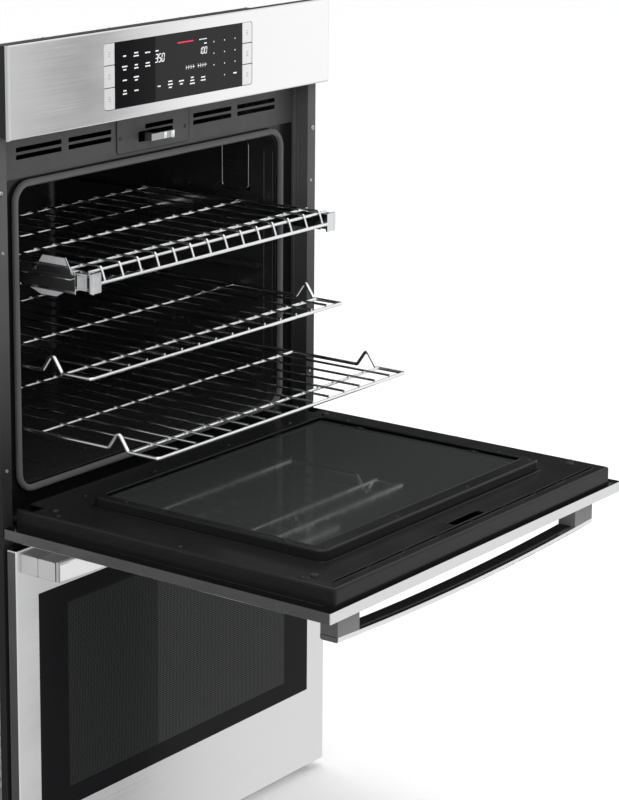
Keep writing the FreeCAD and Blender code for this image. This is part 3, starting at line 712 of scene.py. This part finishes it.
def loop_2d(cx, cy, hw, hh, r, steps=6):
    """A rounded rectangle as points."""
    points = []
    for k, (sx, sy) in enumerate(((1, 1), (-1, 1), (-1, -1), (1, -1))):
        for i in range(steps + 1):
            a = math.radians(90 * (k + i / steps))
            points.append((cx + sx * (hw - r) + r * math.cos(a), cy + sy * (hh - r) + r * math.sin(a)))
    return points


def circle(radius, count):
    """Points round a circle, as pairs."""
    turns = (2 * math.pi * k / count for k in range(count))
    return [(radius * math.cos(a), radius * math.sin(a)) for a in turns]


def wire(piece, points, radius, closed=False, sides=8):
    """A round wire along points; radius in millimetres."""
    points = [Vector(p) for p in points]
    count = len(points)
    rings, up = [], None
    for i, p in enumerate(points):
        before = points[i - 1] if i or closed else p
        after = points[(i + 1) % count] if i + 1 < count or closed else p
        way = (after - before).normalized()
        if up is None:
            up = way.orthogonal().normalized()
        up = (up - way * up.dot(way)).normalized()
        side = way.cross(up)
        rings.append([piece.bm.verts.new(p + (up * math.cos(a) + side * math.sin(a)) * radius * MM)
                      for a in (2 * math.pi * k / sides for k in range(sides))])
    pairs = list(zip(rings, rings[1:] + (rings[:1] if closed else [])))
    for i, (r, s) in enumerate(pairs):
        shift = 0
        if closed and i == count - 1:
            shift = min(range(sides), key=lambda q: (r[0].co - s[q].co).length)
        for k in range(sides):
            n = (k + 1) % sides
            piece.bm.faces.new([r[k], r[n], s[(n + shift) % sides], s[(k + shift) % sides]])
    if not closed:
        piece.bm.faces.new(rings[0][::-1])
        piece.bm.faces.new(rings[-1])


def loft(piece, sections):
    """A closed solid through equal rings of points."""
    rings = [[piece.bm.verts.new(Vector(p)) for p in s] for s in sections]
    for r, s in zip(rings, rings[1:]):
        for k in range(len(r)):
            n = (k + 1) % len(r)
            piece.bm.faces.new([r[k], r[n], s[n], s[k]])
    piece.bm.faces.new(rings[0][::-1])
    piece.bm.faces.new(rings[-1])


def slab(piece, put, x0, x1, v0, v1, w0, w1, bevel=0.4):
    """A bevelled block between two corners given through a placing function."""
    a, b = put(x0, v0, w0), put(x1, v1, w1)
    low = [min(p, q) for p, q in zip(a, b)]
    high = [max(p, q) for p, q in zip(a, b)]
    piece.block(low, high, bevel * MM, 2)


def rivets(piece, points, axis, radius, head=pan_screw):
    for p in points:
        head(piece, p, axis, radius * MM)


def door_detail(tag):
    """One door: a sheet of painted shade behind the handle, and the handle's end plates, lips and fasteners
    of the liner, hinge pins, bead of the glass.
    """
    body, put = tag + "_door", door_at(tag)
    h = DOOR_H[tag]
    out = (put(0, 1, 0) - put(0, 0, 0)).normalized()
    up = (put(0, 0, 1) - put(0, 0, 0)).normalized()
    pad_hi = 486.0 if tag == "upper" else h - 68.0
    # a thin black sheet behind the bowed handle: painted shade in the gap between handle and door
    g1 = h - 21.2
    g0 = g1 - 29.6
    bow = (HANDLE_HALF * HANDLE_HALF + HANDLE_SAG * HANDLE_SAG) / (2 * HANDLE_SAG)
    sections = []
    for i in range(25):
        x = -280.5 + 561 * i / 24
        v = -52.0 + bow - math.sqrt((bow - HANDLE_T) ** 2 - x * x)
        sections.append([put(x, v, g0 + 1.2), put(x, v + 0.9, g0 + 1.2), put(x, v + 0.9, g1 - 8),
                         put(x, v, g1 - 8)])
    shade_sheet = Piece()
    loft(shade_sheet, sections)
    shade_sheet.done("handle_lining_" + tag, "black_paint", body)
    # end plates on the posts, and a dark joint where the bar meets them
    for e, side in ((-1, "left"), (1, "right")):
        plate, joint = Piece(), Piece()
        face = [put(e * HANDLE_HALF, v, w) for v, w in loop_2d(-17.0, (g0 + g1) / 2, 16.6, 14.0, 2.4)]
        plate.sheet([p - Vector((e * 0.5 * MM, 0, 0)) for p in face], (e * 0.8 * MM, 0, 0))
        wire(joint, [put(e * (HANDLE_HALF - 0.1), -34.9, w) for w in (g0 + 1, g1 - 1)], 0.6, sides=6)
        plate.done(f"handle_end_{side}_{tag}", "handle_steel", body)
        joint.done(f"handle_joint_{side}_{tag}", "black_paint", body)
    # rolled lips round the liner's slots and round its window
    lips = Piece()
    slot_w = h - 27
    for k in range(8):
        if tag == "lower" and abs(-294 + 84.5 * k) <= 90:
            continue
        cx = -295 + 84.5 * k
        slot = loop_2d(cx, slot_w, 40.0, 3.4, 3.0, 4)
        wire(lips, [put(x, LINER_V + 0.1, w) for x, w in slot], 0.7, True, 6)
    latch_slot = loop_2d(6, 529.5, 40, 8.8, 4)
    wire(lips, [put(x, LINER_V + 0.1, w) for x, w in latch_slot], 0.9, True, 6)
    mid_w, half_w = (PAD_LOW + pad_hi - 14) / 2, (pad_hi - PAD_LOW - 38) / 2
    window = loop_2d(0, mid_w, 268, half_w + 1, 9)
    wire(lips, [put(x, PAD_V - 0.2, w) for x, w in window], 1.0, True)
    pad_foot = loop_2d(0, (PAD_LOW + pad_hi) / 2, 283.5, (pad_hi - PAD_LOW) / 2 + 3.5, 16)
    wire(lips, [put(x, LINER_V + 0.3, w) for x, w in pad_foot], 1.1, True)
    for e in (-1, 1):
        flank = loop_2d(25, h / 2, 9.5, h / 2 - 24, 5)
        wire(lips, [put(e * 356.0, v, w) for v, w in flank], 0.7, True)
    lips.done("liner_lips_" + tag, "door_enamel", body)
    # fasteners, bumpers and the clips that hold the inner glass
    screws, pads, clips = Piece(), Piece(), Piece()
    rows = [(s * x, w) for s in (-1, 1) for x, w in ((346, 66), (346, 290), (346, 500), (250, 32), (90, 32))]
    rivets(screws, [put(x, LINER_V - 0.1, w) for x, w in rows], out, 4.2)
    rim = ((262, pad_hi - 10), (90, pad_hi - 10), (273, PAD_LOW + 60), (273, pad_hi - 70))
    rivets(screws, [put(s * x, PAD_V - 0.1, w) for s in (-1, 1) for x, w in rim], out, 3.2)
    screws.done("liner_screws_" + tag, "door_enamel", body)
    for s in (-1, 1):
        for w in (508, 46):
            pads.turned(put(s * 330, LINER_V - 0.2, w), out,
                        [(5.5 * MM, 0), (5.5 * MM, 1.6 * MM), (4.6 * MM, 3.0 * MM), (1.8 * MM, 3.0 * MM),
                         (1.6 * MM, 1.8 * MM), (0, 1.8 * MM)], 20)
    pads.done("liner_bumpers_" + tag, "black_paint", body)
    for s in (-1, 1):
        for w in (PAD_LOW + 90, pad_hi - 110):
            slab(clips, put, s * 268.5, s * 261, PAD_V - 5.2, PAD_V - 3.4, w - 9, w + 9)
            rivets(clips, [put(s * 264.5, PAD_V - 3.5, w)], out, 2.2)
    for x in (-150, 0, 150):
        slab(clips, put, x - 11, x + 11, PAD_V - 5.2, PAD_V - 3.4, PAD_LOW + 10, PAD_LOW + 17.5)
    clips.done("window_clips_" + tag, "door_enamel", body)
    # skin hem screws underneath, hinge pin heads and leaf screws
    low = Piece()
    rivets(low, [put(x, 9.0, -11.3) for x in (-300, -110, 110, 300)], -up, 3.4)
    low.done("skin_screws_" + tag, "stainless", body)
    pins = Piece()
    for s in (-1, 1):
        for e in (-1, 1):
            x = s * LEAF_X + e * 9.4
            pins.turned(put(x, FACE_V, 0), (e, 0, 0),
                        [(4.0 * MM, 0), (4.0 * MM, 0.8 * MM), (3.2 * MM, 1.5 * MM), (0, 1.7 * MM)], 20)
        rivets(pins, [put(s * LEAF_X, 3.8, w) for w in (28, 46)], out, 3.4, hex_screw)
    pins.done("hinge_pins_" + tag, "hinge_zinc", body)
    # seal bead between the outer glass and its frame
    bead = Piece()
    wire(bead, [put(x, 0.55, w) for x, w in loop_2d(0, 300.9, 330.75, 175.5, 0.9, 3)], 0.42, True, 6)
    bead.done("pane_bead_" + tag, "black_paint", body)


def cavity_detail(tag):
    """Coves, pressings, lamp bezel, fan cover trim, probe, element hangers and front trim of one cavity."""
    low, high = MOUTH[tag]
    mid = (low + high) / 2
    floor_z, roof_z = low - 2, high + 2
    # rounded corners of the cavity
    cove = Piece()
    for sx in (-1, 1):
        for sz, z in ((1, floor_z), (-1, roof_z)):
            corner = [(sx * CAVITY_HALF, z)]
            for i in range(9):
                a = math.radians(90 * i / 8)
                corner.append((sx * (CAVITY_HALF - COVE_R + COVE_R * math.cos(a)),
                               z + sz * (COVE_R - COVE_R * math.sin(a))))
            loft(cove, [[at(x, d, q) for x, q in corner] for d in (FRAME_D + 1.6, BACK_D)])
    for sx in (-1, 1):
        corner = [(sx * CAVITY_HALF, BACK_D)]
        for i in range(7):
            a = math.radians(90 * i / 6)
            corner.append((sx * (CAVITY_HALF - BACK_COVE_R + BACK_COVE_R * math.cos(a)),
                           BACK_D - BACK_COVE_R + BACK_COVE_R * math.sin(a)))
        loft(cove, [[at(x, d, q) for x, d in corner] for q in (floor_z, roof_z)])
    cove.done("liner_coves_" + tag, "cavity_enamel", "chassis")
    # pressed ridges just inside the mouth, and pips on the walls
    press = Piece()
    for sx in (-1, 1):
        for d in (62, 80):
            wire(press, [at(sx * CAVITY_HALF, d, z) for z in (low + 30, high - 30)], 1.5, sides=10)
        for z in (mid + 120, mid - 12, mid - 118):
            for d in (240, 272):
                press.turned(at(sx * CAVITY_HALF, d, z), (-sx, 0, 0),
                             [(5 * MM, 0), (4.4 * MM, 1.2 * MM), (2.6 * MM, 2.1 * MM), (0, 2.4 * MM)], 16)
    for x in (-200, -100, 100, 200):
        wire(press, [at(x, d, floor_z) for d in (110, 500)], 1.6, sides=10)
    for dz in (-134, 134):
        wire(press, [at(x, BACK_D, mid + FAN_UP + dz) for x in (-230, 230)], 1.6, sides=10)
    press.done("liner_pressings_" + tag, "cavity_enamel", "chassis")
    # lamp bezel
    bezel = Piece()
    wire(bezel, [at(CAVITY_HALF - 3.6, d, z) for d, z in loop_2d(136, high - 58, 27.2, 41.2, 10)], 0.9, True)
    bezel.done("lamp_bezel_" + tag, "latch_steel", "chassis")
    # fan cover: raised ring, edge screws
    zf = mid + FAN_UP
    ring, screws = Piece(), Piece()
    wire(ring, [at(u, BACK_D - 27.8, zf + w) for u, w in circle(84, 48)], 1.5, True)
    ring.done("fan_cover_bead_" + tag, "cavity_enamel", "chassis")
    rivets(screws, [at(sx * 128, BACK_D - 27.9, zf + sz * 94) for sx in (-1, 1) for sz in (-1, 1)],
           (0, -1, 0), 4.0)
    rivets(screws, [at(x, FRAME_D - 1.4, high + 42) for x in (-78, 76)], (0, -1, 0), 3.0)
    screws.done("front_screws_" + tag, "vent_paint", "chassis")
    # temperature probe beside the fan and hangers for the broil element
    probe = Piece()
    stem = [at(-215, BACK_D, high - 40), at(-215, 470, high - 40), at(-215, 440, high - 41)]
    wire(probe, stem, 2.4, sides=12)
    probe.turned(at(-215, BACK_D, high - 40), (0, -1, 0),
                 [(9 * MM, 0), (9 * MM, 1.2 * MM), (5 * MM, 2 * MM), (4 * MM, 6 * MM), (0, 6 * MM)], 24)
    loop_r, z = 6.2, high - 24
    turns = (math.radians(20 * k - 180) for k in range(10))
    arc = [(loop_r * math.cos(t), loop_r * math.sin(t)) for t in turns]
    for x in (-230, -46, 46, 230):
        for d in (215, 400):
            hanger = [at(x + u, d, z + w) for u, w in arc]
            wire(probe, [at(x - loop_r, d, roof_z)] + hanger + [at(x + loop_r, d, roof_z)], 1.1)
    probe.done("probe_and_hangers_" + tag, "element_alloy", "chassis")
    # rolled edge of the mouth
    edge = Piece()
    wire(edge, [at(x, FRAME_D + 0.4, z) for x, z in loop_2d(0, mid, 309.4, 221.4, 22, 8)], 1.3, True)
    edge.done("mouth_edge_" + tag, "frame_enamel", "chassis")
    # rim of the latch cover, bright tabs on the hook
    rim = Piece()
    zc, half_z = (high + 18.5 + PLATE_TOP[tag]) / 2, (PLATE_TOP[tag] - high - 18.5) / 2
    wire(rim, [at(x, FRAME_D - 1.2, z) for x, z in loop_2d(0, zc, 85.4, half_z - 0.2, 6, 5)], 0.55, True, 6)
    rim.done("latch_plate_rim_" + tag, "black_paint", "chassis")
    tabs = Piece()
    for x0, x1 in ((0, 7), (17.5, 25.6)):
        tabs.block(at(x0, 33.3, high + 34.8), at(x1, 34.2, high + 44.8), 0.25 * MM)
    tabs.done("hook_tabs_" + tag, "rack_chrome", "hook_" + tag)
    # bolts through the hinge brackets
    bolts = Piece()
    axis_z = HINGE[tag][1]
    for s in (-1, 1):
        for e in (-1, 1):
            bolts.turned(at(s * LEAF_X + e * 5.9, 40, axis_z), (e, 0, 0),
                         [(4.4 * MM, 0), (4.4 * MM, 1.0 * MM), (2.6 * MM, 1.9 * MM), (0, 2.1 * MM)], 18)
    bolts.done("bracket_bolts_" + tag, "hinge_zinc", "chassis")


def trim_detail():
    """Ridges of the side recesses, and the screws and dimples of the flanges."""
    ridges, screws = Piece(), Piece()
    for s in (-1, 1):
        for d in (46.5, 51.0):
            wire(ridges, [at(s * 357.3, d, z) for z in (20, 1164)], 0.9)
        for z in (96, 1096):
            pan_screw(screws, at(s * 370, 26.0, z), (0, -1, 0), 4.6 * MM)
        for z in (596, 690, 1010):
            screws.turned(at(s * 367, 26.0, z), (0, -1, 0),
                          [(0, 0.1 * MM), (1.7 * MM, 0.1 * MM), (2.2 * MM, 0.5 * MM), (2.7 * MM, 0)], 18)
    ridges.done("recess_ridges", "trim_paint", "chassis")
    screws.done("cabinet_screws", "latch_steel", "chassis")


def casing_detail():
    """Sides, back and top: pressed ribs, screws, seams, louvre hoods, rating plate and knock-outs."""
    ribs, screws = Piece(), Piece()
    for s in (-1, 1):
        for d in (130, 235, 340, 445, 550):
            for z0, z1 in ((70, 520), (620, 1100)):
                wire(ribs, [at(s * CASING_HALF, d, z) for z in (z0, z1)], 2.6, sides=12)
        wire(ribs, [at(s * CASING_HALF, d, 567) for d in (62, 594)], 1.6)
        for z in (30, 560, 575, 1186):
            row = [at(s * CASING_HALF, d, z) for d in (80, 200, 320, 440, 580)]
            rivets(screws, row, (s, 0, 0), 4.4, hex_screw)
        for z in (160, 300, 440, 720, 860, 1000):
            rivets(screws, [at(s * CASING_HALF, d, z) for d in (66, 585)], (s, 0, 0), 4.4, hex_screw)
    for z in (34, 300, 600, 900, 1180):
        rivets(screws, [at(x, CASING_BACK, z) for x in (-340, -115, 115, 340)], (0, 1, 0), 4.4, hex_screw)
    roof = [at(x, d, CASING_TOP) for x in (-340, -120, 120, 340) for d in (165, 585)]
    rivets(screws, roof, (0, 0, 1), 4.4, hex_screw)
    lid = [at(x, d, BOX_TOP) for x in (-340, -170, 0, 170, 340) for d in (36, 140)]
    rivets(screws, lid, (0, 0, 1), 3.8, hex_screw)
    rivets(screws, [at(x, 232, 1244) for x in (208, 292)], (0, 1, 0), 3.4, hex_screw)
    rivets(screws, [at(x, 150, 1270) for x in (-300, -100, 100, 300)], (0, 1, 0), 3.8, hex_screw)
    screws.done("casing_screws", "latch_steel", "chassis")
    for zf in (300.2, 878.0):  # fan shafts
        for radius in (60, 95):
            wire(ribs, [at(u, CASING_BACK, zf + w) for u, w in circle(radius, 40)], 1.8, True)
        for x in (-290, 290):
            wire(ribs, [at(x, CASING_BACK, z) for z in (zf - 150, zf + 150)], 2.4, sides=12)
    for x in (-200, 200):
        wire(ribs, [at(x, d, CASING_TOP) for d in (270, 570)], 2.2, sides=12)
    for x in (-60, 60):
        wire(ribs, [at(x, d, BOX_TOP) for d in (50, 132)], 1.8)
    ribs.done("casing_ribs", "galvanised", "chassis")
    hoods = Piece()
    lip = [(0, 0), (3.4, -1.0), (3.4, -3.0), (2.4, -3.0), (0, 4.0)]
    for x in (-240, -120, 30, 150):
        for z in (60, 78, 96, 640, 658, 676):
            loft(hoods, [[at(q, CASING_BACK + a, z + 6.2 + b) for a, b in lip] for q in (x - 2, x + 92)])
    hoods.done("louvre_hoods", "galvanised", "chassis")
    # blank rating plate with plain bars for its lines
    plate, dots = Piece(), Piece()
    face = CASING_BACK + 0.6
    plate.block(at(-120, CASING_BACK - 0.1, 500), at(0, CASING_BACK + 0.7, 570), 0.3 * MM)
    rivets(dots, [at(x, face, z) for x in (-115, -5) for z in (505, 565)], (0, 1, 0), 2.0)
    for k in range(5):
        dots.block(at(-108, face, 552 - 9 * k), at(-30 - 9 * (k % 3), face + 0.3, 555 - 9 * k), 0.05 * MM)
    plate.done("rating_plate", "fan_steel", "chassis")
    dots.done("rating_plate_marks", "black_paint", "chassis")
    # blower seams; knock-out rings and lid edge of the wiring box
    bits = Piece()
    for x in (-148, 148):
        wire(bits, [at(x, 240 + u, 1150 + w) for u, w in circle(38.3, 40)], 1.2, True)
    box = Piece()
    for radius in (13.5, 16.0):
        wire(box, [at(250 + u, 232, 1227 + w) for u, w in circle(radius, 30)], 0.8, True)
    wire(box, [at(x, y, 1253.8) for x, y in loop_2d(250, 192, 49, 39, 3, 3)], 1.0, True)
    for x in (225, 275):
        wire(box, [at(x + u, 192 + w, 1254) for u, w in circle(8, 24)], 0.6, True)
    bits.done("blower_seams", "galvanised", "chassis")
    box.done("wiring_box_detail", "galvanised", "chassis")


def slide_detail():
    """Ball channels, rivets, ears and edge plates of the telescopic rack."""
    zg = RACK_Z
    satin = paint("satin_plate", (0.42, 0.42, 0.43), rough=0.3).mat
    for s, side in ((-1, "left"), (1, "right")):
        plate = Piece()
        x = s * BRACKET_X
        if s < 0:
            wire(plate, [at(x - 0.2, d, z) for d, z in ((30, zg + 14.6), (-36, zg + 14.6))], 1.0)
            ears = Piece()
            for ear in (((22, 17.5), (15, 28), (-26, 28), (-31, 17.5)),
                        ((40, -22), (19, -29.6), (-11, -29.6), (-24, -22))):
                ears.sheet([at(x - 0.1, d, zg + z) for d, z in ear], (-0.7 * MM, 0, 0))
            ears.done("slide_ears", "rack_chrome", "slide_base", satin)
            dark = Piece()
            dark.block(at(x - 0.9, -45, zg - 18), at(x, 295, zg + 5), 0.3 * MM)
            dark.block(at(x - 0.9, -36, zg + 4), at(x, 27, zg + 13), 0.3 * MM)
            dark.done("slide_channel_cover", "black_paint", "slide_base")
        wire(plate, [at(x, d, zg - 21.6) for d in (-46, 296)], 0.9)
        rivets(plate, [at(x, d, zg - 20) for d in (60, 160, 280)], (s, 0, 0), 1.8)
        plate.done("slide_bracket_trim_" + side, "rack_chrome", "slide_base")
        rail = Piece()
        for z in (zg - 12.5, zg + 5.5):
            wire(rail, [at(s * 293.0, d, z) for d in (-70, 299)], 0.75)
        wire(rail, [at(s * 290.5, -75.4, z) for z in (zg - 20, zg + 9)], 0.6)
        rail.done("slide_channel_" + side, "rack_chrome", "slide_top")
        gap, runner = Piece(), Piece()
        gap.block(at(s * 292, -70.9, zg - 15), at(s * 293.4, -66.4, zg + 8), 0.2 * MM)
        gap.done("slide_gap_" + side, "black_paint", "slide_top")
        runner.block(at(s * 292, -66.3, zg - 14.5), at(s * 293.7, -48, zg + 5), 0.3 * MM)
        runner.block(at(s * 293.2, -62, zg - 11), at(s * 294.3, -59.5, zg + 1), 0.3 * MM)
        runner.done("slide_runner_" + side, "rack_chrome", "slide_top", satin)


for oven in OVENS:
    door_detail(oven)
    cavity_detail(oven)
trim_detail()
casing_detail()
slide_detail()
